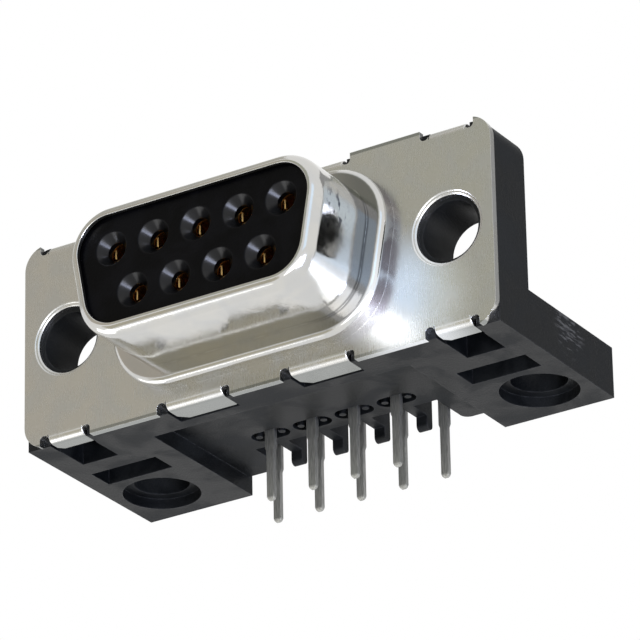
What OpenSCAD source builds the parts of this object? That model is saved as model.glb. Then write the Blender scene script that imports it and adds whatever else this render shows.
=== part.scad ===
// Nine-way D-shaped socket connector, right-angle board mounting.
// Origin: middle of the flange's front face, halfway between the two panel screw holes.
// +X runs along the flange, +Z is up, and -Y is the mating side. Units are millimetres.

/* [Metal flange] */
// Width of the flange plate, along X
flange_w = 30.8; // [30.6:0.1:31.4]
// Height of the flange plate, along Z
flange_h = 12.5; // [12.4:0.05:12.8]
// Thickness of the sheet steel
sheet_t = 0.4; // [0.35:0.01:0.42]
// Radius of the plate's corners
flange_corner_r = 1.4; // [1.0:0.1:1.8]
// Radius of the screw holes in the metal
metal_hole_r = 2; // [1.95:0.01:2.1]
// Distance between the two screw holes
hole_spacing = 25; // [24.9:0.01:25.1]

/* [Drawn shroud] */
// Outer width of the D at its wide side
d_w = 16.33; // [16.2:0.01:16.5]
// Outer height of the D
d_h = 7.9; // [7.8:0.01:8.0]
// Corner radius of the D's outer wall
d_corner_r = 2.6; // [2.4:0.05:2.7]
// Tilt of the D's two sides, in degrees
d_tilt = 10; // [9.5:0.1:10.5]
// Length from the flange's front face to the rim
shroud_len = 6.2; // [5.9:0.05:6.3]
// How far the rim's lip turns inwards, from the outer wall
lip_in = 0.72; // [0.7:0.01:0.85]
// How far the step at the root stands out from the outer wall
step_out = 1.03; // [0.95:0.01:1.1]
// Height of the step above the flange
step_len = 1.15; // [1.05:0.01:1.2]

/* [Folded tabs] */
// Middle of each inner tab, from the centre line
inner_tab_x = 4.05; // [4.0:0.01:4.1]
// Width of an inner tab
inner_tab_w = 3.7; // [3.5:0.05:3.75]
// Middle of each outer tab, from the centre line
outer_tab_x = 12.65; // [12.5:0.01:12.7]
// Width of an outer tab
outer_tab_w = 2.3; // [2.1:0.05:2.4]
// Width of the relief notch at each side of a tab
notch_w = 0.55; // [0.4:0.01:0.6]
// Reach of the inner tabs behind the flange's front face
inner_tab_len = 1.7; // [1.5:0.05:1.9]
// Reach of the outer tabs
outer_tab_len = 1.25; // [1.1:0.05:1.3]
// Outside radius of the tabs' bend
tab_bend_r = 0.5; // [0.48:0.01:0.55]
// Level of the folded tabs' outer side, from the centre line
tab_level = 6.1; // [6.05:0.01:6.12]

/* [Plastic bracket] */
// Thickness of the plastic flange, along Y
bracket_t = 3.2; // [3.0:0.05:3.4]
// Radius of the panel screw bores in the plastic
panel_bore_r = 1.75; // [1.7:0.01:1.8]
// Where the feet end, behind the flange's front face
foot_end_y = 12.7; // [12.5:0.05:12.9]
// Width of each foot
foot_w = 7; // [6.9:0.05:7.1]
// Height of each foot
foot_h = 3.05; // [2.9:0.05:3.2]
// Level of the board face below the centre line
board_z = -6.15; // [-6.2:0.01:-6.1]
// Level of the underside between the feet
floor_z = -5.1; // [-5.2:0.01:-5.0]
// Distance of the board screw holes from the flange's front face
board_hole_y = 9.5; // [9.4:0.01:9.6]
// Radius of the board screw holes
board_hole_r = 1.6; // [1.5:0.01:1.65]
// Radius of the round recess at the board holes' mouth
recess_r = 2.25; // [2.2:0.01:2.3]
// Depth of that recess
recess_deep = 0.63; // [0.5:0.01:0.7]

/* [Insulator] */
// Gap between the nose and the inside of the shroud
nose_gap = 0.1; // [0.05:0.01:0.12]
// How far the nose stops short of the rim
nose_back = 0.45; // [0.42:0.01:0.5]
// Radius of the contact bores at their front
socket_bore_r = 0.6; // [0.56:0.01:0.62]
// Mouth radius of the lead-in cones
lead_in_r = 1.02; // [0.95:0.01:1.05]
// Depth of the lead-in cones
lead_in_deep = 0.55; // [0.5:0.01:0.6]

/* [Contacts] */
// Distance between neighbouring contacts of one row
pitch = 2.77; // [2.76:0.01:2.78]
// Distance between the two rows of sockets
row_gap = 2.84; // [2.83:0.01:2.85]
// Distance of the front row of tails from the flange's front face
tail_y = 8.08; // [8.05:0.01:8.1]
// Distance between the two rows of tails
tail_gap = 2.84; // [2.83:0.01:2.85]
// Level of the tails' tips
tip_z = -9.14; // [-9.3:0.01:-9.0]
// Outer radius of the socket barrels
barrel_r = 0.78; // [0.76:0.01:0.79]
// Bore radius of the sockets
pin_bore_r = 0.52; // [0.51:0.01:0.53]
// Thickness of the contacts' strip
strip_t = 0.3; // [0.28:0.01:0.32]

/* [Hidden] */
$fn = 48;
eps = 0.02;

tin = [0.66, 0.65, 0.61];
nose_black = [0.07, 0.07, 0.09];
bracket_black = [0.23, 0.23, 0.25];
tail_grey = [0.44, 0.44, 0.42];

top_row = 5;
bottom_row = 4;
hole_x = hole_spacing / 2;
plate_top = flange_h / 2;
bend_z = tab_level - tab_bend_r;
back_y = sheet_t + bracket_t;

// Arc centres of the D: the same four centres serve every offset of its outline.
d_top_z = d_h / 2 - d_corner_r;
d_top_x = d_w / 2 - d_corner_r;
d_low_x = d_top_x - 2 * d_top_z * tan(d_tilt);

// Points on an arc from angle a to angle b, in n steps.
function arc(cx, cy, r, a, b, n) =
    [for (i = [0:n]) [cx + r * cos(a + (b - a) * i / n), cy + r * sin(a + (b - a) * i / n)]];

// The wall's foot ends inside the plate, so that no face of it lies flush with the plate's.
foot_deep = 0.2;
foot_sink = 0.02;
draw_gap = 0.05;

// Wall section of the drawn shroud: x is the offset from the D's outer wall, y the height
// in front of the flange. It runs up the outside, over the lip and down the inside.
root_r = 0.15;
step_r = 0.3;
neck_r = 0.3;
rim_r = 0.6;
shroud_wall = concat(
    [[step_out + root_r, -foot_deep]],
    arc(step_out + root_r, root_r - foot_sink, root_r, 270, 180, 3),
    arc(step_out - step_r, step_len - step_r, step_r, 0, 90, 5),
    arc(neck_r, step_len + neck_r, neck_r, 270, 180, 4),
    arc(-rim_r, shroud_len - rim_r, rim_r, 0, 90, 6),
    [[-lip_in, shroud_len], [-lip_in, shroud_len - sheet_t]],
    arc(-rim_r, shroud_len - rim_r, rim_r - sheet_t, 90, 0, 3),
    [[-sheet_t, step_len - sheet_t], [step_out - sheet_t, step_len - sheet_t],
        [step_out - sheet_t, -foot_deep]]);

// Filled D, grown by an offset from the shroud's outer wall.
module d_area(out) {
    r = d_corner_r + out;
    for (s = [-1, 1]) {
        translate([s * d_top_x, d_top_z]) circle(r);
        translate([s * d_low_x, -d_top_z]) circle(r);
    }
    nx = r * cos(d_tilt);
    nz = r * sin(d_tilt);
    polygon([[d_top_x, d_top_z + r], [d_top_x + nx, d_top_z - nz],
        [d_low_x + nx, -d_top_z - nz], [d_low_x, -d_top_z - r],
        [-d_low_x, -d_top_z - r], [-d_low_x - nx, -d_top_z - nz],
        [-d_top_x - nx, d_top_z - nz], [-d_top_x, d_top_z + r]]);
}

// Stations round the D, as [arc centre x, arc centre z, outward angle]. Each corner turns in
// equal steps, and the straight sides run from the end of one corner to the start of the next.
// With a shift of half a step the stations fall between those of the wall, and miss its edges.
corner_steps = 10;
function d_corner(x, z, a, turn, shift) = [for (i = [0:corner_steps - ceil(shift)])
    [x, z, a + turn * (i + shift) / corner_steps]];
function d_stations(shift) = concat(
    d_corner(d_top_x, d_top_z, -d_tilt, 90 + d_tilt, shift),
    d_corner(-d_top_x, d_top_z, 90, 90 + d_tilt, shift),
    d_corner(-d_low_x, -d_top_z, 180 + d_tilt, 90 - d_tilt, shift),
    d_corner(d_low_x, -d_top_z, 270, 90 - d_tilt, shift));

// Filled D, grown by an offset, with its points between the stations of the wall.
module d_outline(out) {
    polygon([for (s = d_stations(0.5)) let (r = d_corner_r + out)
        [s[0] + r * cos(s[2]), s[1] + r * sin(s[2])]]);
}

// Carries a closed wall section, drawn as [offset, height], round the D as one solid.
module d_sweep(wall) {
    stations = d_stations(0);
    rings = len(stations);
    n = len(wall);
    points = [for (s = stations, w = wall) let (r = d_corner_r + w[0])
        [s[0] + r * cos(s[2]), -w[1], s[1] + r * sin(s[2])]];
    faces = [for (i = [0:rings - 1], j = [0:n - 1]) let (next = (i + 1) % rings, k = (j + 1) % n)
        [i * n + j, i * n + k, next * n + k, next * n + j]];
    polyhedron(points, faces, convexity = 6);
}

// Turns a shape drawn in X-Z with its height as local Z so that it faces the mating side.
module facing_front() {
    rotate([90, 0, 0]) children();
}

// A plate in X-Z with rounded corners, between two depths.
module rounded_plate(w, low, high, r, y0, y1) {
    translate([0, y1, 0]) facing_front() linear_extrude(y1 - y0) {
        translate([-w / 2 + r, low]) square([w - 2 * r, high - low]);
        translate([-w / 2, low + r]) square([w, high - low - 2 * r]);
        for (x = [-w / 2 + r, w / 2 - r], z = [low + r, high - r]) translate([x, z]) circle(r);
    }
}

// Relief notch with a round end, cut up from the plate's lower edge at x.
module notch(x) {
    end_z = bend_z + eps + notch_w / 2;
    translate([x - notch_w / 2, -eps, -plate_top - eps])
        cube([notch_w, sheet_t + 2 * eps, plate_top - end_z + eps]);
    translate([x, sheet_t + eps, -end_z]) facing_front()
        cylinder(h = sheet_t + 2 * eps, d = notch_w);
}

// Everything cut from the plate round one lower tab: its notches and its straight edge.
module tab_cut(x, w) {
    notch(x - w / 2 - notch_w / 2);
    notch(x + w / 2 + notch_w / 2);
    translate([x - w / 2 - eps, -eps, -plate_top - eps])
        cube([w + 2 * eps, sheet_t + 2 * eps, plate_top - bend_z + eps]);
}

// A lower tab: a quarter bend and a flat lip with one corner cut off.
module tab(x, w, reach) {
    translate([x - w / 2, tab_bend_r, -bend_z]) rotate([0, 90, 0]) rotate([0, 0, 270])
        rotate_extrude(angle = 90) translate([tab_bend_r - sheet_t, 0]) square([sheet_t, w]);
    cut = 0.45 * (reach - tab_bend_r);
    translate([x, 0, -tab_level]) linear_extrude(sheet_t)
        polygon([[-w / 2, tab_bend_r], [w / 2, tab_bend_r], [w / 2, reach],
            [-w / 2 + cut, reach], [-w / 2, reach - cut]]);
}

// Places the four lower tabs' children, and the same again mirrored along the top edge.
module at_tabs() {
    for (m = [0, 1]) mirror([0, 0, m]) children();
}

// Stamped and drawn steel shell: flange, stepped D shroud and eight folded tabs.
module front_shell() {
    color(tin) difference() {
        union() {
            difference() {
                rounded_plate(flange_w, -plate_top, plate_top, flange_corner_r, 0, sheet_t);
                translate([0, sheet_t + eps, 0]) facing_front()
                    linear_extrude(sheet_t + 2 * eps) d_outline(step_out - sheet_t + draw_gap);
                at_tabs() for (s = [-1, 1]) {
                    tab_cut(s * inner_tab_x, inner_tab_w);
                    tab_cut(s * outer_tab_x, outer_tab_w);
                }
            }
            d_sweep(shroud_wall);
            at_tabs() for (s = [-1, 1]) {
                tab(s * inner_tab_x, inner_tab_w, inner_tab_len);
                tab(s * outer_tab_x, outer_tab_w, outer_tab_len);
            }
        }
        for (s = [-1, 1]) translate([s * hole_x, 0, 0]) screw_hole();
    }
}

// Screw hole in the metal, with its front edge coined back.
module screw_hole() {
    coin = 0.15;
    coin_out = 0.2;
    translate([0, sheet_t + eps, 0]) facing_front()
        cylinder(h = sheet_t + 2 * eps, r = metal_hole_r);
    translate([0, coin, 0]) facing_front()
        cylinder(h = coin + eps, r1 = metal_hole_r, r2 = metal_hole_r + coin_out);
}

// Socket places as [x, z], numbered from the right of the wide row.
function socket_at(i) = i < top_row
    ? [((top_row - 1) / 2 - i) * pitch, row_gap / 2]
    : [((bottom_row - 1) / 2 - (i - top_row)) * pitch, -row_gap / 2];

nose_y = -(shroud_len - nose_back);
collar_y = -(step_len - sheet_t) + nose_gap;
mouth = 0.35;
barrel_y = nose_y + lead_in_deep + mouth;
barrel_gap = 0.03;
seat_r = 0.95;
seat_deep = 0.7;
seat_gap = 0.02;

// Moulded nose that fills the shroud, with a collar trapped under the shell's step.
module socket_insulator() {
    color(nose_black) difference() {
        union() {
            translate([0, sheet_t, 0]) facing_front()
                linear_extrude(sheet_t - nose_y) d_area(-sheet_t - nose_gap);
            translate([0, sheet_t, 0]) facing_front()
                linear_extrude(sheet_t - collar_y) d_area(step_out - sheet_t - nose_gap);
        }
        for (i = [0:top_row + bottom_row - 1]) translate([socket_at(i)[0], 0, socket_at(i)[1]])
            socket_cavity();
    }
}

// Cavity of one contact: lead-in cone, narrow mouth, barrel bore and a seat at the back.
module socket_cavity() {
    translate([0, nose_y, 0]) rotate([-90, 0, 0]) {
        translate([0, 0, -eps]) cylinder(h = lead_in_deep + eps, r1 = lead_in_r, r2 = socket_bore_r);
        cylinder(h = lead_in_deep + mouth + eps, r = socket_bore_r);
    }
    translate([0, barrel_y, 0]) rotate([-90, 0, 0])
        cylinder(h = sheet_t - barrel_y + eps, r = barrel_r + barrel_gap);
    translate([0, sheet_t - seat_deep, 0]) rotate([-90, 0, 0])
        cylinder(h = seat_deep + eps, r = seat_r + seat_gap);
}

foot_in = flange_w / 2 - foot_w;
foot_top = board_z + foot_h;
strip_end_y = 2.6;
comb_y = 9.35;
comb_half = 6;
comb_end_y = 12.4;
comb_corner_r = 0.5;
finger_w = 0.7;
finger_end_y = 11.35;
hook_w = 0.6;
hook_drop = 0.8;

// Bracket: flange, two feet with screw holes, and a comb that spaces the tails.
module bracket() {
    color(bracket_black) difference() {
        union() {
            difference() {
                rounded_plate(flange_w, board_z, -board_z, flange_corner_r, sheet_t, back_y);
                translate([-foot_in, strip_end_y, board_z - eps])
                    cube([2 * foot_in, back_y, floor_z - board_z + eps]);
            }
            for (s = [-1, 1]) translate([s * (foot_in + foot_w / 2), 0, 0]) foot();
            difference() {
                translate([-foot_in - eps, back_y - eps, floor_z])
                    cube([2 * (foot_in + eps), comb_end_y - back_y + eps, foot_top - floor_z]);
                comb_opening();
            }
            for (x = tail_row(bottom_row)) translate([x, 0, 0]) comb_finger();
        }
        for (s = [-1, 1]) translate([s * hole_x, sheet_t - eps, 0]) rotate([-90, 0, 0])
            cylinder(h = bracket_t + 2 * eps, r = panel_bore_r);
        for (s = [-1, 1]) foot_cuts(s * hole_x);
        at_tabs() for (s = [-1, 1]) {
            tab_recess(s * inner_tab_x, inner_tab_w, inner_tab_len);
            tab_recess(s * outer_tab_x, outer_tab_w, outer_tab_len);
        }
        for (i = [0:top_row + bottom_row - 1]) strip_slot(socket_at(i));
        for (x = tail_row(bottom_row)) translate([x, tail_y, floor_z]) tail_hole();
    }
}

// One foot, as a block behind and under the flange.
module foot() {
    translate([-foot_w / 2, sheet_t, board_z]) cube([foot_w, foot_end_y - sheet_t, foot_h]);
}

// Coring pockets of a foot, as [width, depth along Y]: one under the flange, one before the hole.
pocket_deep = 1.9;
edge_pocket = [2.4, 2.25];
edge_pocket_y = 1.3;
mid_pocket = [4.35, 1.75];
mid_pocket_y = 4.95;
mid_pocket_in = 0.425;

// Board screw hole with its recess, and the two coring pockets of one foot.
module foot_cuts(x) {
    translate([x, board_hole_y, board_z - eps]) {
        cylinder(h = foot_h + 2 * eps, r = board_hole_r);
        cylinder(h = recess_deep + eps, r = recess_r);
    }
    side = sign(x);
    translate([side * outer_tab_x - edge_pocket[0] / 2, edge_pocket_y, board_z - eps])
        cube([edge_pocket[0], edge_pocket[1], pocket_deep + eps]);
    translate([x - side * mid_pocket_in - mid_pocket[0] / 2, mid_pocket_y, board_z - eps])
        cube([mid_pocket[0], mid_pocket[1], pocket_deep + eps]);
}

// Clearance for a lower tab in the plastic's edge.
module tab_recess(x, w, reach) {
    gap = 0.1;
    translate([x - w / 2 - gap, sheet_t - eps, board_z - eps])
        cube([w + 2 * gap, reach - sheet_t + gap, sheet_t - tab_level - board_z + eps + gap]);
}

strip_w = 0.8;
strip_gap = 0.04;

// Slot through the plastic flange for one contact's strip.
module strip_slot(p) {
    w = strip_w + 2 * strip_gap;
    t = strip_t + 2 * strip_gap;
    translate([p[0] - w / 2, sheet_t - eps, p[1] - t / 2]) cube([w, bracket_t + 2 * eps, t]);
}

// Places along X of a row of tails, from the left.
function tail_row(count) = [for (i = [0:count - 1]) (i - (count - 1) / 2) * pitch];

// Wide opening for the rear tails, open to the back, with rounded rear corners.
module comb_opening() {
    reach = comb_end_y - comb_y;
    tall = foot_top - floor_z + 2 * eps;
    r = comb_corner_r;
    translate([0, 0, floor_z - eps]) {
        translate([-comb_half, comb_y, 0]) cube([2 * comb_half, reach + eps, tall]);
        for (s = [-1, 1]) translate([s * comb_half, comb_end_y - r, 0]) difference() {
            translate([s > 0 ? -eps : -r, 0, 0]) cube([r + eps, r + eps, tall]);
            translate([s * r, 0, -eps]) cylinder(h = tall + 2 * eps, r = r);
        }
    }
}

// Finger between two rear tails, with a rounded hook that hangs from its end.
module comb_finger() {
    r = hook_w / 2;
    translate([-finger_w / 2, comb_y - eps, floor_z])
        cube([finger_w, finger_end_y - comb_y + eps, foot_top - floor_z]);
    translate([-finger_w / 2, finger_end_y - hook_w, floor_z - hook_drop + r])
        cube([finger_w, hook_w, hook_drop - r + eps]);
    translate([-finger_w / 2, finger_end_y - r, floor_z - hook_drop + r]) rotate([0, 90, 0])
        cylinder(h = finger_w, r = r);
}

tail_hole_w = 0.9;
tail_hole_d = 0.7;
oval_half = 0.6;
oval_r = 0.6;
oval_deep = 0.45;
ear_r = 0.2;

// Hole for a front tail, in an oval recess that leaves an ear at each side of the tail.
module tail_hole() {
    translate([-tail_hole_w / 2, -tail_hole_d / 2, -eps])
        cube([tail_hole_w, tail_hole_d, foot_top - floor_z + 2 * eps]);
    translate([0, 0, -eps]) difference() {
        union() {
            for (s = [-1, 1]) translate([s * oval_half, 0, 0])
                cylinder(h = oval_deep + eps, r = oval_r);
            translate([-oval_half, -oval_r, 0]) cube([2 * oval_half, 2 * oval_r, oval_deep + eps]);
        }
        for (s = [-1, 1]) translate([s * (tail_hole_w / 2 + 1.5 * ear_r), 0, -eps])
            cylinder(h = oval_deep + 3 * eps, r = ear_r);
    }
}

tail_w = 0.5;
neck_w = 0.66;
bend_mid_r = 0.6;
pin_bore_deep = 4.28;
slit_w = 0.14;
slit_len = 3;
shoulder_z = [-3.4, -3.7, -5.9, -6.1];
tip_rise = 0.2;
tip_in = 0.14;

// One contact with its socket at [x, z] and its tail at depth y.
module contact(p, y) {
    color(tail_grey) {
        translate([p[0], 0, p[1]]) difference() {
            union() {
                translate([0, barrel_y, 0]) rotate([-90, 0, 0])
                    cylinder(h = sheet_t - barrel_y, r = barrel_r);
                translate([0, sheet_t - seat_deep, 0]) rotate([-90, 0, 0])
                    cylinder(h = seat_deep, r = seat_r);
            }
            translate([0, barrel_y - eps, 0]) rotate([-90, 0, 0])
                cylinder(h = pin_bore_deep + eps, r = pin_bore_r);
            translate([-slit_w / 2, barrel_y - eps, 0]) cube([slit_w, slit_len, barrel_r + eps]);
        }
        translate([p[0] - strip_w / 2, sheet_t - 0.1, p[1] - strip_t / 2])
            cube([strip_w, y - bend_mid_r - sheet_t + 0.1, strip_t]);
        translate([p[0] - strip_w / 2, y - bend_mid_r, p[1] - bend_mid_r])
            rotate([0, 90, 0]) rotate([0, 0, 90]) rotate_extrude(angle = 90)
            translate([bend_mid_r - strip_t / 2, 0]) square([strip_t, strip_w]);
        translate([p[0], y + strip_t / 2, 0]) facing_front() linear_extrude(strip_t)
            tail_outline(p[1] - bend_mid_r);
    }
}

// Face of a tail from its bend down to the pointed tip.
module tail_outline(top) {
    a = strip_w / 2;
    b = neck_w / 2;
    c = tail_w / 2;
    z = shoulder_z;
    for (m = [0, 1]) mirror([m, 0]) polygon([[0, top], [a, top], [a, z[0]], [b, z[1]], [b, z[2]],
        [c, z[3]], [c, tip_z + tip_rise], [c - tip_in, tip_z], [0, tip_z]]);
}

// Contacts 1 to 5 serve the wide row and the rear tails, 6 to 9 the narrow row.
module contact_no(n) {
    contact(socket_at(n - 1), n <= top_row ? tail_y + tail_gap : tail_y);
}

front_shell();
socket_insulator();
bracket();
for (n = [1:top_row + bottom_row])
    contact_no(n);
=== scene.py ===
# %% [markdown]
# # A nine-way D-shaped socket connector
# This lesson dresses a board connector: a drawn steel shell with folded tabs, a black nose with
# nine sockets, a black bracket with a screw foot at each end, and nine tinned tails. The packed
# CAD model gives every place and size, so it is loaded first, and nothing in it is moved.

import math

import bmesh
import bpy
from mathutils import Matrix, Vector


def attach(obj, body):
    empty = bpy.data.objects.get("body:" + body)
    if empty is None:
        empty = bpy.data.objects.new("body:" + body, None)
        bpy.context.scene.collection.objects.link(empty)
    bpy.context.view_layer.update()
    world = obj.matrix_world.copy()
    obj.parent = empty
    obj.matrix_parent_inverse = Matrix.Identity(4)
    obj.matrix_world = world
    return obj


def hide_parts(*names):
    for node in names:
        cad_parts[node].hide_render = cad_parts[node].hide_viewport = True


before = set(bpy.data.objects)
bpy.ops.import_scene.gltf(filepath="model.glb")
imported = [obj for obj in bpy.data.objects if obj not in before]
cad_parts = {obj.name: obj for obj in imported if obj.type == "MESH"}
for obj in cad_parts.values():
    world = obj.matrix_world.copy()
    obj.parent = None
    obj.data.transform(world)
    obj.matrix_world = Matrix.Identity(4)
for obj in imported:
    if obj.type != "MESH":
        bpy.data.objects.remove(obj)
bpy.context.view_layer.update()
print("CAD nodes:", len(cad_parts))

# %% [markdown]
# The part is small, so all modelling happens with one Blender unit for a millimetre, and each
# finished piece is brought down to metres once. These are the real sizes that the pieces share.

# %% Sizes in millimetres
FLANGE_W, FLANGE_H, SHEET = 30.8, 12.5, 0.4
FLANGE_CORNER, HOLE_X, METAL_HOLE, COIN = 1.4, 12.5, 2.0, 0.15
D_W, D_H, D_CORNER, D_TILT = 16.33, 7.9, 2.6, math.radians(10)
STEP_OUT, STEP_LEN, SHROUD_LEN, LIP_IN = 1.03, 1.15, 6.2, 0.65
STEP_R, RIM_ACROSS, RIM_ALONG = 0.4, 0.6, 0.85
BEND_R, TAB_LEVEL, NOTCH_W = 0.5, 6.1, 0.55
BEND_Z = TAB_LEVEL - BEND_R
TABS = [(4.05, 3.7, 1.7), (12.65, 2.3, 1.25)]
PITCH, ROW_GAP = 2.77, 2.84
NOSE_Y, NOSE_GAP = -(SHROUD_LEN - 0.45), 0.1
print("shroud of", D_W, "x", D_H, "mm")

# %% [markdown]
# ## Camera
# The camera stands below and to the right, far off behind a long lens, so that lines run almost
# parallel. Its place, its aim and a small roll fix the whole view.

# %% Camera
bpy.ops.object.camera_add(location=(0, 0, 0))
camera = bpy.context.object
camera.name = "camera"
turn, tip, roll = (math.radians(a) for a in (31.98487, -25.06114, -1.14647))
back = Vector((math.sin(turn) * math.cos(tip), -math.cos(turn) * math.cos(tip), math.sin(tip)))
level = Vector((math.cos(turn), math.sin(turn), 0))
over = back.cross(level)
right = level * math.cos(roll) + over * math.sin(roll)
up = over * math.cos(roll) - level * math.sin(roll)
camera.matrix_world = Matrix.Translation((0.146569, -0.227804, -0.128929)) @ Matrix(
    (right, up, back)).transposed().to_4x4()
camera.data.lens, camera.data.sensor_width = 305.879, 36
camera.data.clip_start, camera.data.clip_end = 0.01, 20
bpy.context.scene.camera = camera
print("camera aims along", [round(v, 3) for v in -back])

# %% [markdown]
# ## Studio
# The pale floor lies well below the part, because the camera looks up at it. World and floor show
# plain white to the camera and in reflections, and light the part at a plain level otherwise.

# %% World and floor
scene = bpy.context.scene
scene.view_settings.view_transform = "Standard"


def seen_directly(nodes, links):
    """One for camera, glossy and transmission rays, nought for light that falls on things."""
    path = nodes.new("ShaderNodeLightPath")
    glossy = nodes.new("ShaderNodeMath")
    glossy.operation = "MAXIMUM"
    links.new(path.outputs["Is Camera Ray"], glossy.inputs[0])
    links.new(path.outputs["Is Glossy Ray"], glossy.inputs[1])
    clear = nodes.new("ShaderNodeMath")
    clear.operation = "MAXIMUM"
    links.new(glossy.outputs[0], clear.inputs[0])
    links.new(path.outputs["Is Transmission Ray"], clear.inputs[1])
    return clear.outputs[0]


world = bpy.data.worlds.new("studio")
scene.world = world
world.use_nodes = True
wn, wl = world.node_tree.nodes, world.node_tree.links
room = wn["Background"]
room.inputs["Color"].default_value = (1, 1, 1, 1)
level_mix = wn.new("ShaderNodeMix")
level_mix.inputs["A"].default_value = 0.75
level_mix.inputs["B"].default_value = 1.0
wl.new(seen_directly(wn, wl), level_mix.inputs["Factor"])
wl.new(level_mix.outputs["Result"], room.inputs["Strength"])

bpy.ops.mesh.primitive_plane_add(size=6, location=(0, 0, -0.42))
floor = bpy.context.object
floor.name = "floor"
floor_finish = bpy.data.materials.new("pale_floor")
floor_finish.use_nodes = True
fn, fl = floor_finish.node_tree.nodes, floor_finish.node_tree.links
fn["Principled BSDF"].inputs["Base Color"].default_value = (0.8, 0.8, 0.8, 1)
fn["Principled BSDF"].inputs["Roughness"].default_value = 0.8
white = fn.new("ShaderNodeEmission")
either = fn.new("ShaderNodeMixShader")
fl.new(seen_directly(fn, fl), either.inputs[0])
fl.new(fn["Principled BSDF"].outputs[0], either.inputs[1])
fl.new(white.outputs[0], either.inputs[2])
fl.new(either.outputs[0], fn["Material Output"].inputs["Surface"])
floor.data.materials.append(floor_finish)
print("floor at", floor.location.z, "m")

# %% [markdown]
# Bare metal shows its surroundings, so a white room alone would make it flat. A flat face mirrors
# one direction only, so each gets a card of its own there: grey cards calm the large faces, and
# cards brighter than white make a glow. Two soft lamps light it from the right and from below.


# %% Lamps and cards
def aim(obj, direction, distance):
    """Stands an object off in a direction from the part, facing it."""
    out = Vector(direction).normalized()
    obj.location = out * distance
    obj.rotation_euler = out.to_track_quat("Z", "Y").to_euler()


def lamp(name, direction, distance, size, watts, colour=(1, 1, 1)):
    """Soft square lamp."""
    bpy.ops.object.light_add(type="AREA")
    light = bpy.context.object
    light.name = name
    light.data.size, light.data.energy, light.data.color = size, watts, colour
    aim(light, direction, distance)


CARD_FADE = 0.03


def card(name, direction, distance, wide, high, shade, right_shade=None):
    """Studio card that only reflections see. It may fade to a second shade on its right side."""
    bpy.ops.mesh.primitive_plane_add(size=1)
    sheet = bpy.context.object
    sheet.name = name
    sheet.scale = (wide, high, 1)
    aim(sheet, direction, distance)
    finish = bpy.data.materials.new(name)
    finish.use_nodes = True
    nodes, links = finish.node_tree.nodes, finish.node_tree.links
    glow = nodes.new("ShaderNodeEmission")
    glow.inputs["Color"].default_value = (*shade, 1)
    if right_shade:
        place = nodes.new("ShaderNodeSeparateXYZ")
        links.new(nodes.new("ShaderNodeTexCoord").outputs["Object"], place.inputs[0])
        across = nodes.new("ShaderNodeMapRange")
        across.inputs["From Min"].default_value = -CARD_FADE
        across.inputs["From Max"].default_value = CARD_FADE
        links.new(place.outputs["X"], across.inputs["Value"])
        both = nodes.new("ShaderNodeMix")
        both.data_type = "RGBA"
        both.inputs["A"].default_value = (*shade, 1)
        both.inputs["B"].default_value = (*right_shade, 1)
        links.new(across.outputs[0], both.inputs["Factor"])
        links.new(both.outputs["Result"], glow.inputs["Color"])
    links.new(glow.outputs[0], nodes["Material Output"].inputs["Surface"])
    sheet.data.materials.append(finish)
    for way in ("camera", "diffuse", "shadow", "transmission", "volume_scatter"):
        setattr(sheet, "visible_" + way, False)


lamp("side", (0.72, -0.41, -0.56), 0.5, 0.20, 2.4, (0.70, 0.76, 1.0))
lamp("low", (-0.62, -0.13, -0.77), 0.5, 0.30, 0.5)
# The plate seen from the front, then the step's lower band.
card("card_front", (-0.48, -0.77, 0.42), 0.45, 0.46, 0.38, (0.56, 0.52, 0.46), (0.47, 0.48, 0.41))
card("card_low", (-0.52, -0.75, -0.41), 0.45, 0.24, 0.24, (0.56, 0.53, 0.43))
# Glows: on the plate's lower right, and on the right side of the D.
card("card_near", (0.30, -0.77, -0.48), 0.50, 0.36, 0.24, (3.4, 3.4, 3.4))
card("card_right", (0.59, -0.77, 0.24), 0.45, 0.20, 0.24, (1.08, 1.26, 1.48))
# The step's lower left corner, the faces turned to the right, and the rim's left and top round.
card("card_corner", (-0.86, 0.0, -0.51), 0.40, 0.18, 0.18, (2.0, 2.0, 2.0))
card("card_back", (0.48, 0.77, 0.42), 0.45, 0.40, 0.40, (0.38, 0.38, 0.38))
card("card_left", (-0.72, -0.02, 0.69), 0.45, 0.42, 0.42, (0.56, 0.55, 0.50))

# %% [markdown]
# ## Modelling helpers
# Operators act on whatever is selected, so each step starts by selecting one thing. Faces and
# edges are then picked by their place or their direction.


# %% Selecting
def only(obj):
    """Leaves one object selected and active."""
    if bpy.context.object and bpy.context.object.mode != "OBJECT":
        bpy.ops.object.mode_set(mode="OBJECT")
    bpy.ops.object.select_all(action="DESELECT")
    obj.select_set(True)
    bpy.context.view_layer.objects.active = obj


def edit(obj):
    """Opens an object in edit mode with nothing selected."""
    only(obj)
    bpy.ops.object.mode_set(mode="EDIT")
    bpy.ops.mesh.select_mode(type="FACE")
    bpy.ops.mesh.select_all(action="DESELECT")


def pick(obj, kind, test):
    """Selects the faces, edges or verts for which the test holds, and says how many."""
    bpy.ops.mesh.select_mode(type={"faces": "FACE", "edges": "EDGE", "verts": "VERT"}[kind])
    bpy.ops.mesh.select_all(action="DESELECT")
    bm = bmesh.from_edit_mesh(obj.data)
    found = [e for e in getattr(bm, kind) if test(e)]
    for e in found:
        e.select = True
    bm.select_flush_mode()
    bmesh.update_edit_mesh(obj.data)
    return len(found)


def leave():
    bpy.ops.object.mode_set(mode="OBJECT")


print("selecting: only, edit, pick and leave")

# %% [markdown]
# A few short moves come back in every piece: pulling a face out, turning the normals outward,
# settling a new size into the mesh, mirroring, cutting and joining. Each gets a name here.


# %% Shaping
def pull(x, y, z):
    """Extrudes what is selected by a move."""
    bpy.ops.mesh.extrude_region_move(TRANSFORM_OT_translate={"value": (x, y, z)})


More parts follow.
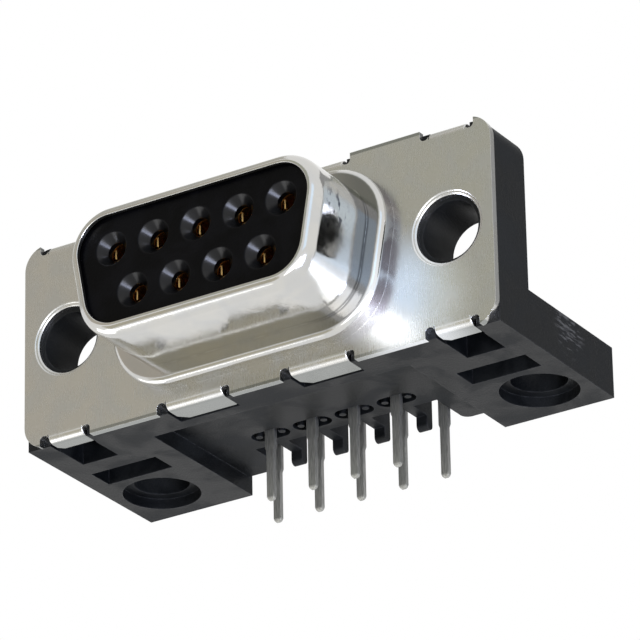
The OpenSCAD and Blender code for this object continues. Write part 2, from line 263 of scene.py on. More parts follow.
def face_outward():
    """Selects the whole mesh and turns its normals outward."""
    bpy.ops.mesh.select_all(action="SELECT")
    bpy.ops.mesh.normals_make_consistent(inside=False)


def settle():
    """Writes the object's place, turn and size into its mesh."""
    bpy.ops.object.transform_apply(location=True, rotation=True, scale=True)


def turn_over(obj):
    """Mirrors a piece between the lower and the upper edge."""
    only(obj)
    bpy.ops.transform.mirror(constraint_axis=(False, False, True), center_override=(0, 0, 0))
    settle()
    edit(obj)
    face_outward()
    leave()


def apply_all(obj):
    only(obj)
    for m in list(obj.modifiers):
        bpy.ops.object.modifier_apply(modifier=m.name)


def cut(obj, cutter):
    """Takes a cutter away from a piece, and removes the cutter."""
    only(obj)
    m = obj.modifiers.new("cut", "BOOLEAN")
    m.operation, m.solver, m.object = "DIFFERENCE", "EXACT", cutter
    m.use_self = True
    bpy.ops.object.modifier_apply(modifier=m.name)
    bpy.data.objects.remove(cutter)


def join(objs, name):
    """Joins several objects into one mesh."""
    only(objs[0])
    for o in objs[1:]:
        o.select_set(True)
    bpy.ops.object.join()
    objs[0].name = name
    return objs[0]


def block(lo, hi, name="block"):
    """Box between two corners, a start for shaping or cutting."""
    bpy.ops.object.select_all(action="DESELECT")
    mid = [(a + b) / 2 for a, b in zip(lo, hi)]
    bpy.ops.mesh.primitive_cube_add(size=1, location=mid)
    obj = bpy.context.object
    obj.scale = [b - a for a, b in zip(lo, hi)]
    settle()
    obj.name = name
    return obj


print("shaping: pull, turn_over, cut, join and block")

# %% [markdown]
# ## The D outline
# The D has four corner arcs. An outline drawn at another offset keeps the same four centres, and
# only the radius changes. It is drawn as by hand: one vertex is spun round each corner, and
# extruded along each straight side.

# %% D outline
D_TOP_Z = D_H / 2 - D_CORNER
D_TOP_X = D_W / 2 - D_CORNER
D_LOW_X = D_TOP_X - 2 * D_TOP_Z * math.tan(D_TILT)
D_CORNERS = [(D_TOP_X, D_TOP_Z, -D_TILT, math.pi / 2 + D_TILT),
             (-D_TOP_X, D_TOP_Z, math.pi / 2, math.pi / 2 + D_TILT),
             (-D_LOW_X, -D_TOP_Z, math.pi + D_TILT, math.pi / 2 - D_TILT),
             (D_LOW_X, -D_TOP_Z, 1.5 * math.pi, math.pi / 2 - D_TILT)]
ARC_STEPS = 16


def d_face(offset, y, name):
    """Flat D that faces the mating side, grown by an offset from the shroud's outer wall."""
    radius = D_CORNER + offset

    def at(x, z, angle):
        return Vector((x + radius * math.cos(angle), y, z + radius * math.sin(angle)))

    bpy.ops.object.select_all(action="DESELECT")
    bpy.ops.mesh.primitive_plane_add(size=1, location=(0, 0, 0))
    obj = bpy.context.object
    obj.name = name
    bpy.ops.object.mode_set(mode="EDIT")
    bpy.ops.mesh.merge(type="CENTER")
    bpy.ops.mesh.select_mode(type="VERT")
    bpy.ops.mesh.select_all(action="SELECT")
    here = at(*D_CORNERS[0][:3])
    bpy.ops.transform.translate(value=here)
    for i, (x, z, start, sweep) in enumerate(D_CORNERS):
        bpy.ops.mesh.spin(steps=ARC_STEPS, angle=sweep, center=(x, y, z), axis=(0, 1, 0))
        here = at(x, z, start + sweep)
        following = at(*D_CORNERS[(i + 1) % 4][:3])
        pull(*(following - here))
    bpy.ops.mesh.select_all(action="SELECT")
    bpy.ops.mesh.remove_doubles(threshold=0.001)
    bpy.ops.mesh.edge_face_add()
    bm = bmesh.from_edit_mesh(obj.data)
    bm.faces.ensure_lookup_table()
    if bm.faces[0].normal.y > 0:
        bpy.ops.mesh.flip_normals()
    leave()
    return obj


trial = d_face(0, 0, "trial")
print("D outline:", len(trial.data.vertices), "points,", [round(v, 2) for v in trial.dimensions])
bpy.data.objects.remove(trial)

# %% [markdown]
# ## The steel shell
# On the real part one strip of thin steel is punched, drawn and folded. The drawn shroud is made
# here the way a press makes it: the D is taken forward ring by ring, each inset by the next step
# of the wall's section, from the root, over the step and neck, up the wall and round the rim.


# %% Drawn shroud
def arc_points(cx, cy, across, start, stop, steps, along=None):
    """Points of a section's arc, angles in degrees; an ellipse where the second radius is given."""
    angles = [math.radians(start + (stop - start) * i / steps) for i in range(steps + 1)]
    return [(cx + across * math.cos(a), cy + (along or across) * math.sin(a)) for a in angles]


# A section point is (distance outside the shroud's wall, height over the plate's face).
ROOT_OFFSET = STEP_OUT + 0.2
STEP_RING, WALL_RINGS = 0.4, (2.6, 4.2)    # extra rings, which keep the long faces even
LIP_EDGE, LIP_DEEP = 0.02, 0.25
WALL = 0.28
section = ([(ROOT_OFFSET, 0), (STEP_OUT, 0), (STEP_OUT, STEP_RING)]
           + arc_points(STEP_OUT - STEP_R, STEP_LEN - STEP_R, STEP_R, 0, 90, 10)
           + [(0, STEP_LEN)] + [(0, height) for height in WALL_RINGS]
           + arc_points(-RIM_ACROSS, SHROUD_LEN - RIM_ALONG, RIM_ACROSS, 0, 90, 14, RIM_ALONG)
           + [(-LIP_IN + LIP_EDGE, SHROUD_LEN - LIP_EDGE / 2),
              (-LIP_IN, SHROUD_LEN - 2 * LIP_EDGE), (-LIP_IN, SHROUD_LEN - LIP_DEEP)])
shroud = d_face(ROOT_OFFSET, 0, "shroud")
edit(shroud)
bpy.ops.mesh.select_all(action="SELECT")
for (d0, h0), (d1, h1) in zip(section, section[1:]):
    if abs(d0 - d1) < 1e-6:
        pull(0, h0 - h1, 0)
    else:
        bpy.ops.mesh.inset(thickness=d0 - d1, depth=h1 - h0, use_even_offset=True)
bpy.ops.mesh.delete(type="FACE")
leave()
only(shroud)
wall = shroud.modifiers.new("wall", "SOLIDIFY")
wall.thickness, wall.offset = WALL, -1
apply_all(shroud)
print("shroud:", len(shroud.data.polygons), "faces, depth", round(shroud.dimensions.y, 2))

# %% [markdown]
# The plate starts as a block. Its corners are rounded, its straight edges are pulled in where the
# tabs fold away, and each tab gets a small relief notch at both sides. Punched edges are a little
# round, which is what catches the light, so they are bevelled before the holes are cut.


# %% Flange plate
def near(a, b, slack=0.01):
    return abs(a - b) < slack


def tube(x, z, y0, y1, radius, name, sides):
    """Round bar along Y, a start for cutting."""
    bpy.ops.object.select_all(action="DESELECT")
    bpy.ops.mesh.primitive_cylinder_add(vertices=sides, radius=radius, depth=y1 - y0,
                                        location=(x, (y0 + y1) / 2, z),
                                        rotation=(math.pi / 2, 0, 0))
    obj = bpy.context.object
    obj.name = name
    settle()
    return obj


OVER, TAB_PLAY, EDGE_R = 0.1, 0.02, 0.12


def tab_gaps(x, width, flip):
    """Two relief notches and the straight cut between them, as three cutters."""
    top = FLANGE_H / 2 + OVER
    half = width / 2 + TAB_PLAY
    pieces = [block((x - half, -OVER, BEND_Z), (x + half, SHEET + OVER, top))]
    for side in (-1, 1):
        cx = x + side * (width + NOTCH_W) / 2
        low = BEND_Z + TAB_PLAY
        slot = block((cx - NOTCH_W / 2, -OVER, low), (cx + NOTCH_W / 2, SHEET + OVER, top))
        edit(slot)
        pick(slot, "edges", lambda e: all(near(v.co.z, low) for v in e.verts)
             and abs(e.verts[0].co.y - e.verts[1].co.y) > 0.1)
        bpy.ops.mesh.bevel(offset=NOTCH_W * 0.45, segments=6)
        leave()
        pieces.append(slot)
    if flip:
        for piece in pieces:
            turn_over(piece)
    return pieces


half_w, half_h = FLANGE_W / 2, FLANGE_H / 2
plate = block((-half_w, 0, -half_h), (half_w, SHEET, half_h), "plate")
edit(plate)
pick(plate, "edges", lambda e: abs(e.verts[0].co.y - e.verts[1].co.y) > 0.1)
bpy.ops.mesh.bevel(offset=FLANGE_CORNER, segments=10)
leave()
for side in (-1, 1):
    for x, width, reach in TABS:
        for flip in (False, True):
            for cutter in tab_gaps(side * x, width, flip):
                cut(plate, cutter)


def round_edge(e):
    """Outer edges of the plate's faces, but not where a tab folds away."""
    a, b = (v.co for v in e.verts)
    flat = near(a.y, b.y) and len(e.link_faces) == 2
    bend = near(abs(a.z), BEND_Z) and near(abs(b.z), BEND_Z) and abs(a.x - b.x) > 1
    return flat and not bend and e.calc_face_angle(0) > 0.8


edit(plate)
print("plate edges rounded:", pick(plate, "edges", round_edge))
bpy.ops.mesh.bevel(offset=EDGE_R, segments=3, clamp_overlap=True)
leave()

# %% [markdown]
# The screw holes have a coined edge, a shallow cone pressed round the hole. The cutter is a bar
# whose front is widened into that cone, in five small rings. The D opening is cut with the same
# outline that the shroud starts from, so that both rims have the same vertices and can be welded.

# %% Holes and weld
# Each ring of the coined cone is (move forward, new radius). Together they are COIN deep.
COIN_RINGS = ((0.05, 2.05), (0.02, 2.10), (0.01, 2.16), (0.05, 2.20), (0.02, 2.26))
FRONT_OF_PLATE, BEHIND_PLATE = -0.5, 0.9

for side in (-1, 1):
    bar = tube(side * HOLE_X, 0, 0, SHEET + 0.2, METAL_HOLE, "bar", 72)
    edit(bar)
    pick(bar, "faces", lambda f: f.normal.y < -0.9)
    bpy.ops.transform.translate(value=(0, COIN, 0))
    before = METAL_HOLE
    for forward, radius in COIN_RINGS:
        pull(0, -forward, 0)
        bpy.ops.transform.resize(value=(radius / before,) * 3)
        before = radius
    pull(0, -0.2, 0)
    leave()
    cut(plate, bar)

opening = d_face(ROOT_OFFSET, FRONT_OF_PLATE, "opening")
edit(opening)
bpy.ops.mesh.select_all(action="SELECT")
pull(0, BEHIND_PLATE - FRONT_OF_PLATE, 0)
face_outward()
leave()
cut(plate, opening)


def on_opening(p):
    """True for a place on the edge of the D opening."""
    radius = D_CORNER + ROOT_OFFSET
    return any(near(math.hypot(p.x - x, p.z - z), radius, 0.006) for x, z, *_ in D_CORNERS)


def opening_wall(f):
    """True for a face of the opening's wall, which lies along Y behind the plate's front."""
    return (abs(f.normal.y) < 0.3 and f.calc_center_median().y > -0.01
            and all(on_opening(v.co) for v in f.verts))


for piece in (plate, shroud):
    edit(piece)
    walls = pick(piece, "faces", opening_wall)
    bpy.ops.mesh.delete(type="FACE")
    leave()
    print(piece.name, "opening walls removed:", walls)
shell = join([plate, shroud], "steel_shell")
edit(shell)
bpy.ops.mesh.select_all(action="SELECT")
bpy.ops.mesh.remove_doubles(threshold=0.003)
bpy.ops.mesh.select_all(action="DESELECT")
bpy.ops.mesh.select_mode(type="EDGE")
bpy.ops.mesh.select_non_manifold()
bm = bmesh.from_edit_mesh(shell.data)
print("loose rim edges to bridge:", sum(e.select for e in bm.edges))
bpy.ops.mesh.bridge_edge_loops()
leave()
print("steel shell:", len(shell.data.polygons), "faces")

# %% [markdown]
# A tab is a short strip of the same sheet. Its root is a small rectangle on the plate's edge, which
# is spun a quarter turn round the bend's axis and then pulled straight back.


# %% Folded tabs
TAB_CORNER, TAB_EDGE_R = 0.45, 0.07


def folded_tab(x, width, reach):
    """One tab along the lower edge, with its left corner cut off."""
    bpy.ops.object.select_all(action="DESELECT")
    bpy.ops.mesh.primitive_plane_add(size=1, location=(x, SHEET / 2, -BEND_Z))
    tab = bpy.context.object
    tab.name = "tab"
    tab.scale = (width, SHEET, 1)
    settle()
    edit(tab)
    bpy.ops.mesh.select_all(action="SELECT")
    bpy.ops.mesh.spin(steps=10, angle=-math.pi / 2, center=(x, BEND_R, -BEND_Z), axis=(1, 0, 0))
    pull(0, reach - BEND_R, 0)
    face_outward()
    corner = TAB_CORNER * (reach - BEND_R)
    pick(tab, "edges", lambda e: all(near(v.co.x, x - width / 2) and near(v.co.y, reach)
                                     for v in e.verts))
    bpy.ops.mesh.bevel(offset=corner, segments=1)
    pick(tab, "edges", lambda e: len(e.link_faces) == 2 and e.calc_face_angle(0) > 0.5
         and not all(near(v.co.z, -BEND_Z) for v in e.verts))
    bpy.ops.mesh.bevel(offset=TAB_EDGE_R, segments=3)
    leave()
    return tab


tabs = []
for side in (-1, 1):
    for x, width, reach in TABS:
        for flip in (False, True):
            tab = folded_tab(side * x, width, reach)
            if flip:
                turn_over(tab)
            tabs.append(tab)
low = [min(v.co.z for v in t.data.vertices) for t in tabs]
print("tabs:", len(tabs), "lowest", round(min(low), 3), "deepest",
      round(max(max(v.co.y for v in t.data.vertices) for t in tabs), 3))
shell = join([shell] + tabs, "steel_shell")

# %% [markdown]
# ## The black nose
# The nose is one moulding that fills the shroud, with nine cavities. Each cavity begins as a cone
# that guides the pin, then a narrow mouth, then a wider bore for the contact. One cutter has this
# shape: a bar whose front end is pulled forward ring by ring, and a ring is widened where needed.

# %% Insulator
ROWS = ([(i * PITCH, ROW_GAP / 2) for i in (2, 1, 0, -1, -2)]
        + [(i * PITCH, -ROW_GAP / 2) for i in (1.5, 0.5, -0.5, -1.5)])
LEAD_R, LEAD_DEEP, MOUTH_R, MOUTH_LEN, BORE_R = 1.02, 0.55, 0.55, 0.35, 0.81
LEAD_INNER, LEAD_OUTER, NOSE_EDGE_R = LEAD_R - 0.04, LEAD_R + 0.05, 0.1
BARREL_Y = NOSE_Y + LEAD_DEEP + MOUTH_LEN


def d_block(offset, front, rear, name):
    """D-shaped block between two depths."""
    obj = d_face(offset, front, name)
    edit(obj)
    bpy.ops.mesh.select_all(action="SELECT")
    pull(0, rear - front, 0)
    face_outward()
    leave()
    return obj


def pull_front(steps):
    """Takes the selected front face through a list of (forward move, new radius over old)."""
    for forward, grow in steps:
        pull(0, -forward, 0)
        bpy.ops.transform.resize(value=(grow, 1, grow))


nose = d_block(-SHEET - NOSE_GAP, NOSE_Y, SHEET, "nose")
edit(nose)
pick(nose, "edges", lambda e: all(near(v.co.y, NOSE_Y) for v in e.verts))
bpy.ops.mesh.bevel(offset=NOSE_EDGE_R, segments=3)
leave()
collar = d_block(STEP_OUT - SHEET - NOSE_GAP, -(STEP_LEN - SHEET) + NOSE_GAP, SHEET, "collar")
for x, z in ROWS:
    bar = tube(x, z, BARREL_Y, SHEET + 0.2, BORE_R, "bar", 48)
    edit(bar)
    pick(bar, "faces", lambda f: f.normal.y < -0.9)
    pull_front([(0, MOUTH_R / BORE_R), (MOUTH_LEN, 1), (LEAD_DEEP - 0.05, LEAD_INNER / MOUTH_R),
                (0.03, LEAD_R / LEAD_INNER), (0.02, LEAD_OUTER / LEAD_R), (0.2, 1)])
    face_outward()
    leave()
    only(bar)
    bpy.ops.object.duplicate()
    twin = bpy.context.object
    cut(nose, bar)
    cut(collar, twin)
insulator = join([nose, collar], "nose_moulding")
print("insulator:", len(insulator.data.polygons), "faces")

# %% [markdown]
# ## The contacts
# Each contact is one strip of metal: a rolled socket in front, a collar that stops against the
# bracket, then a flat strip that runs back, bends down and ends in a pointed tail. The strip is
# drawn as by hand, by pulling one small face along the way and narrowing it at its shoulders. A
# small leaf inside the socket is the spring that grips the pin, and gives the golden glint there.

# %% One contact
STRIP_W, STRIP_T, BARREL_R, SEAT_R = 0.8, 0.3, 0.78, 0.95
BEND_MID, TIP_Z = 0.6, -9.14
TAIL_Y, TAIL_GAP = 8.08, 2.84
SHOULDER_W, PIN_W, STRIP_EDGE_R = 0.66, 0.5, 0.045
STRIP_START, SHARP_TIP = SHEET - 0.05, TIP_Z + 0.05
# Down the tail: (height, width, thickness), with two shoulders and a pointed tip.
TAIL_STEPS = [(-3.4, STRIP_W, STRIP_T), (-3.7, SHOULDER_W, STRIP_T), (-5.9, SHOULDER_W, STRIP_T),
              (-6.1, PIN_W, STRIP_T), (TIP_Z + 0.24, PIN_W, STRIP_T), (TIP_Z + 0.1, 0.42, 0.24),
              (TIP_Z, 0.22, 0.12)]
# From the barrel's front inward: (inset, depth). Then the leaf's first box, and its way forward
# as (move aside, move forward), which ends narrower by LEAF_TAPER.
SOCKET_LIP = ((0.06, 0), (0.12, -0.02), (0.08, -0.12))
SOCKET_DEEP, SEAT_LEN = 4.1, 0.3
LEAF_LOW, LEAF_HIGH = (-0.52, BARREL_Y + 0.9, -0.18), (-0.44, BARREL_Y + 1.2, 0.42)
LEAF_STEPS = ((0.06, 0.35), (0.05, 0.30), (0.0, 0.10), (-0.03, 0.05))
LEAF_TAPER = (0.3, 1, 0.9)


def contact(z, tail_y, name):
    """Contact in the middle plane, with its socket at height z and its tail at a depth."""
    barrel = tube(0, z, BARREL_Y, SHEET - 0.1, BARREL_R, "barrel", 32)
    edit(barrel)
    pick(barrel, "faces", lambda f: f.normal.y < -0.9)
    for inward, depth in SOCKET_LIP:
        bpy.ops.mesh.inset(thickness=inward, depth=depth)
    pull(0, SOCKET_DEEP, 0)
    leave()
    seat = tube(0, z, -SEAT_LEN, SHEET, SEAT_R, "seat", 32)
    leaf = block(*((x, y, z + rise) for x, y, rise in (LEAF_LOW, LEAF_HIGH)), "leaf")
    edit(leaf)
    pick(leaf, "faces", lambda f: f.normal.y < -0.9)
    for aside, forward in LEAF_STEPS:
        pull(aside, -forward, 0)
    bpy.ops.transform.resize(value=LEAF_TAPER)
    leave()

    bpy.ops.object.select_all(action="DESELECT")
    bpy.ops.mesh.primitive_plane_add(size=1, location=(0, STRIP_START, z),
                                     rotation=(-math.pi / 2, 0, 0))
    strip = bpy.context.object
    strip.scale = (STRIP_W, STRIP_T, 1)
    settle()
    edit(strip)
    bpy.ops.mesh.select_all(action="SELECT")
    pull(0, tail_y - BEND_MID - STRIP_START, 0)
    bpy.ops.mesh.spin(steps=8, angle=math.pi / 2, center=(0, tail_y - BEND_MID, z - BEND_MID),
                      axis=(1, 0, 0))
    here, wide, thick = z - BEND_MID, STRIP_W, STRIP_T
    for there, new_wide, new_thick in TAIL_STEPS:
        pull(0, 0, there - here)
        bpy.ops.transform.resize(value=(new_wide / wide, new_thick / thick, 1))
        here, wide, thick = there, new_wide, new_thick
    face_outward()
    pick(strip, "edges", lambda e: len(e.link_faces) == 2 and e.calc_face_angle(0) > 1
         and all(v.co.z > SHARP_TIP for v in e.verts))
    bpy.ops.mesh.bevel(offset=STRIP_EDGE_R, segments=2)
    leave()
    return join([strip, barrel, seat, leaf], name)


upper = contact(ROW_GAP / 2, TAIL_Y + TAIL_GAP, "upper_contact")
lower = contact(-ROW_GAP / 2, TAIL_Y, "lower_contact")
contacts = []
for number, (x, z) in enumerate(ROWS, 1):
    only(upper if z > 0 else lower)
    bpy.ops.object.duplicate()
    copy = bpy.context.object
    copy.name = f"tinned_contact_{number}"
    copy.location.x = x
    settle()
    contacts.append(copy)
for first in (upper, lower):
    bpy.data.objects.remove(first)
print("contacts:", len(contacts), "faces each:", len(contacts[0].data.polygons))

# %% [markdown]
# ## The bracket
# The bracket is a moulding with many pockets and holes, and the CAD solid already has them all. A
# copy of it is merged, its flat faces are made whole again, and then every edge gets the small
# radius that a mould leaves. The CAD node itself is not touched.


# %% Bracket
def moulded_copy(node, radius, name):
    """Copy of a CAD node in millimetres, with softened edges."""
    only(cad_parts[node])
    bpy.ops.object.duplicate()
    obj = bpy.context.object
    obj.name = name
    obj.parent = None
    for key in list(obj.keys()):
        del obj[key]
    obj.data.materials.clear()
    obj.scale = (1000,) * 3
    settle()
    edit(obj)
    bpy.ops.mesh.select_all(action="SELECT")
    if obj.data.has_custom_normals:
        bpy.ops.mesh.customdata_custom_splitnormals_clear()
    bpy.ops.mesh.remove_doubles(threshold=0.002)
    bpy.ops.mesh.dissolve_limited(angle_limit=math.radians(2))
    leave()
    soft = obj.modifiers.new("mould radius", "BEVEL")
    soft.width, soft.segments, soft.limit_method = radius, 2, "ANGLE"
    soft.angle_limit, soft.use_clamp_overlap = math.radians(35), True
    apply_all(obj)
    return obj


MOULD_R = 0.07
bracket = moulded_copy("bracket", MOULD_R, "bracket_moulding")
print("bracket:", len(bracket.data.polygons), "faces")

# %% [markdown]
# ## Finishes
# Real surfaces are never even, so effects that several finishes share are built once as node
# groups with named inputs. Each group reads the object's own coordinates and gives masks, colours
# or heights, and the material around it decides what they change.


# %% Node group helpers
def new_group(name, inputs, outputs):
    """Empty shader node group with named sockets: (name, default) inputs, and output names."""
    group = bpy.data.node_groups.new(name, "ShaderNodeTree")
    for label, value in inputs:
        kind = "NodeSocketVector" if isinstance(value, tuple) else "NodeSocketFloat"
        socket = group.interface.new_socket(label, in_out="INPUT", socket_type=kind)
        socket.default_value = value
    for label in outputs:
        group.interface.new_socket(label, in_out="OUTPUT", socket_type="NodeSocketFloat")
    return group, group.nodes.new("NodeGroupInput"), group.nodes.new("NodeGroupOutput")


def node(tree, kind, settings=(), **wires):
    """Adds a node, sets its properties, and wires or fills its inputs by name, or by i0, i1."""
    made = tree.nodes.new(kind)
    for key, value in dict(settings).items():
        setattr(made, key, value)
    for key, value in wires.items():
        numbered = key[0] == "i" and key[1:].isdigit()
        socket = made.inputs[int(key[1:]) if numbered else key.replace("_", " ")]
        if isinstance(value, bpy.types.NodeSocket):
            tree.links.new(value, socket)
        else:
            socket.default_value = value
    return made


def maths(tree, operation, a, b=0.0, clamp=False):
    return node(tree, "ShaderNodeMath", {"operation": operation, "use_clamp": clamp},
                i0=a, i1=b).outputs[0]


def ramp(tree, value, low, high, out_low=0.0, out_high=1.0):
    """Maps a value from one range to another, and holds it there."""
    return node(tree, "ShaderNodeMapRange", {"interpolation_type": "SMOOTHSTEP"}, Value=value,
                From_Min=low, From_Max=high, To_Min=out_low, To_Max=out_high).outputs[0]


def stretched(tree, scale):
    """Object coordinates, taken larger along each axis."""
    where = node(tree, "ShaderNodeTexCoord").outputs["Object"]
    return node(tree, "ShaderNodeMapping", Vector=where, Scale=scale).outputs[0]


def object_place(tree):
    """Object coordinates in millimetres."""
    return stretched(tree, (1000, 1000, 1000))


def apart(tree, place, centre):
    """Distance between a place and a centre."""
    return node(tree, "ShaderNodeVectorMath", {"operation": "DISTANCE"}, i0=place,
                i1=centre).outputs["Value"]


def times(tree, a, b):
    return maths(tree, "MULTIPLY", a, b)


print("node helpers: new_group, node, maths, ramp, stretched, object_place, apart and times")

# %% [markdown]
# Four effects come back in the finishes. Streaks are what rolling and drawing leave on metal, grain
# is the mould's texture on plastic, wear brightens edges that hands and tools touch, and scuffing
# leaves short strokes gathered round one place. On the bracket that scuffing is real; on the tin
# the same strokes paint a dark reflection on the D's side.

# %% Shared effects
# Streaks left by rolling and drawing: noise stretched along one direction.
streaks, si, so = new_group("rolled_streaks", [("Stretch", (1000.0, 1000.0, 1000.0)),
                                               ("Detail", 4.0)], ["Streak", "Height"])
fine = node(streaks, "ShaderNodeTexNoise", Vector=stretched(streaks, si.outputs["Stretch"]),
            Scale=3.0, Detail=si.outputs["Detail"])
streaks.links.new(ramp(streaks, fine.outputs[0], 0.35, 0.65), so.inputs["Streak"])
streaks.links.new(fine.outputs[0], so.inputs["Height"])

# Mould grain: fine pits, with slow clouds where the plastic flowed.
grain, gi, go = new_group("mould_grain", [("Grain Scale", 9.0), ("Flow Scale", 0.35)],
                          ["Grain", "Flow"])
place = object_place(grain)
pits = node(grain, "ShaderNodeTexNoise", Vector=place, Scale=gi.outputs["Grain Scale"], Detail=3.0)
flow = node(grain, "ShaderNodeTexNoise", Vector=place, Scale=gi.outputs["Flow Scale"], Detail=5.0,
            Distortion=0.6)
grain.links.new(pits.outputs[0], go.inputs["Grain"])
grain.links.new(ramp(grain, flow.outputs[0], 0.35, 0.68), go.inputs["Flow"])

# Edge wear: where a rounded copy of the normal differs from the real one, an edge is near.
wear, wi, wo = new_group("edge_wear", [("Width", 0.00012), ("Amount", 1.0)], ["Edge"])
soft_normal = node(wear, "ShaderNodeBevel", {"samples": 4},
                   Radius=wi.outputs["Width"]).outputs[0]
true_normal = node(wear, "ShaderNodeNewGeometry").outputs["Normal"]
facing = node(wear, "ShaderNodeVectorMath", {"operation": "DOT_PRODUCT"}, i0=soft_normal,
              i1=true_normal).outputs["Value"]
bent = ramp(wear, facing, 0.995, 0.90)
patch = node(wear, "ShaderNodeTexNoise", Vector=object_place(wear), Scale=2.2, Detail=4.0)
broken = ramp(wear, patch.outputs[0], 0.38, 0.62, 0.25, 1.0)
wear.links.new(maths(wear, "MULTIPLY", times(wear, bent, broken), wi.outputs["Amount"],
                     clamp=True), wo.inputs["Edge"])

# Scuffing and painted reflection: short strokes inside a ball round a place, in millimetres.
# On the bracket they are real scuffing; on the tin they paint a dark reflection.
scuff_and_reflection, ci, co = new_group("scuffs_and_painted_reflection", [("Centre", (0.0, 0.0, 0.0)), ("Reach", 3.0),
                                     ("Stretch", (300.0, 1400.0, 2600.0))], ["Scuff"])
off_centre = apart(scuff_and_reflection, object_place(scuff_and_reflection), ci.outputs["Centre"])
inside = maths(scuff_and_reflection, "SUBTRACT", 1.0,
               maths(scuff_and_reflection, "DIVIDE", off_centre, ci.outputs["Reach"]), clamp=True)
stroke = node(scuff_and_reflection, "ShaderNodeTexNoise", Vector=stretched(scuff_and_reflection, ci.outputs["Stretch"]),
              Scale=1.0, Detail=5.0)
scuff_and_reflection.links.new(times(scuff_and_reflection, ramp(scuff_and_reflection, stroke.outputs[0], 0.52, 0.66),
                      ramp(scuff_and_reflection, inside, 0.0, 0.6)), co.inputs["Scuff"])
print("node groups:", [g.name for g in bpy.data.node_groups])

# %% [markdown]
# The finishes themselves follow: bright tin on drawn steel, black glass-filled plastic for the
# bracket, smoother black for the nose, and gold in the sockets that changes to dull tin behind.
# They share a starting shader, a way to place a group, a mix of two colours and a bump.


# %% Finish helpers
def finish(name, metallic=0.0, specular=0.5):
    """New material with its shader and the tree that feeds it."""
    made = bpy.data.materials.new(name)
    made.use_nodes = True
    shader = made.node_tree.nodes["Principled BSDF"]
    shader.inputs["Metallic"].default_value = metallic
    shader.inputs["Specular IOR Level"].default_value = specular
    return made, made.node_tree, shader


def use(tree, group, **values):
    """Places a node group in a material with its own values."""
    placed = node(tree, "ShaderNodeGroup", {"node_tree": group})
    for key, value in values.items():
        placed.inputs[key.replace("_", " ")].default_value = value
    return placed


def blend_colours(tree, mask, a, b):
    mix = node(tree, "ShaderNodeMix", {"data_type": "RGBA"})
    tree.links.new(mask, mix.inputs["Factor"])
    for socket, value in ((mix.inputs["A"], a), (mix.inputs["B"], b)):
        if isinstance(value, bpy.types.NodeSocket):
            tree.links.new(value, socket)
        else:
            socket.default_value = (*value, 1)
    return mix.outputs["Result"]


def bumped(tree, shader, height, strength, distance):
    bump = node(tree, "ShaderNodeBump", Strength=strength, Distance=distance, Height=height)
    tree.links.new(bump.outputs[0], shader.inputs["Normal"])


print("finish helpers: finish, use, blend_colours and bumped")

# %% [markdown]
# Bright tin follows the steel under it. It is warm and cloudy, with fine lines from rolling. Light
# and shade are also painted into it at places of their own: painted shade on the tab lips and in
# the neck, a painted glow on the plate's lower right, and painted dark reflections on the step's
# right side and on the D's side.

# %% Bright tin
TIN_WARM, TIN_COOL, TIN_EDGE = (0.64, 0.63, 0.60), (0.60, 0.60, 0.59), (0.80, 0.80, 0.79)
# Of these colours, the two for the tab lips and the neck are painted shade, the pale bluish one is
# a painted highlight, and the two other near blacks are painted dark reflections on the step's side
# and on the D's side.
SHADED_LIP_TIN, PAINTED_GLOW_TIN, STEP_DARK_REFLECTION = (0.33, 0.34, 0.33), (0.93, 0.96, 1.0), (0.11, 0.085, 0.09)
NECK_SHADE, SIDE_DARK_REFLECTION = (0.10, 0.10, 0.11), (0.09, 0.09, 0.11)
PAINTED_GLOW_CENTRE, SIDE_DARK_REFLECTION_CENTRE = (10.2, 0.0, -4.0), (8.2, -4.3, 0.4)

tin, tt, tin_shader = finish("bright_tin", metallic=1.0)
rolled = use(tt, streaks, Stretch=(5200, 900, 260), Detail=5.0)
place = node(tt, "ShaderNodeSeparateXYZ", Vector=object_place(tt)).outputs
clouds = node(tt, "ShaderNodeTexNoise", Vector=object_place(tt), Scale=0.55, Detail=6.0,
              Distortion=0.4).outputs[0]
edge = use(tt, wear, Width=0.00009, Amount=0.6)
# Dark strokes round a place on the D's right side wall: a painted dark reflection.
side_dark_reflection = use(tt, scuff_and_reflection, Centre=SIDE_DARK_REFLECTION_CENTRE, Reach=1.8, Stretch=(2100, 2100, 1700))

# The tabs' outer faces and the plate's top and bottom edges get a darker tin: painted shade.
shaded_lip = ramp(tt, maths(tt, "ABSOLUTE", place["Z"]), 6.03, 6.08)
# A pale bluish glow round a place low on the plate's right: a painted highlight.
painted_glow = ramp(tt, apart(tt, object_place(tt), PAINTED_GLOW_CENTRE), 1.5, 4.6, 1.0, 0.0)
# The step's outer wall on the right, from 4.5 mm outward, is darkened in cloudy patches: a painted
# dark reflection.
step_side = times(tt, ramp(tt, place["Y"], -0.86, -0.72), ramp(tt, place["Y"], -0.001, -0.01))
step_dark_reflection = times(tt, times(tt, step_side, ramp(tt, place["X"], 4.5, 8.5)),
              ramp(tt, clouds, 0.30, 0.55, 0.5, 0.9))
# Just above the step's ledge, where it meets the wall, the tin is darkened, less towards the left:
# painted shade in the crease.
neck = times(tt, ramp(tt, place["Y"], -1.42, -1.22), ramp(tt, place["Y"], -1.10, -1.16, 0.0, 0.75))
neck_shade = times(tt, neck, ramp(tt, place["X"], 3.0, 8.0, 0.2, 1.0))

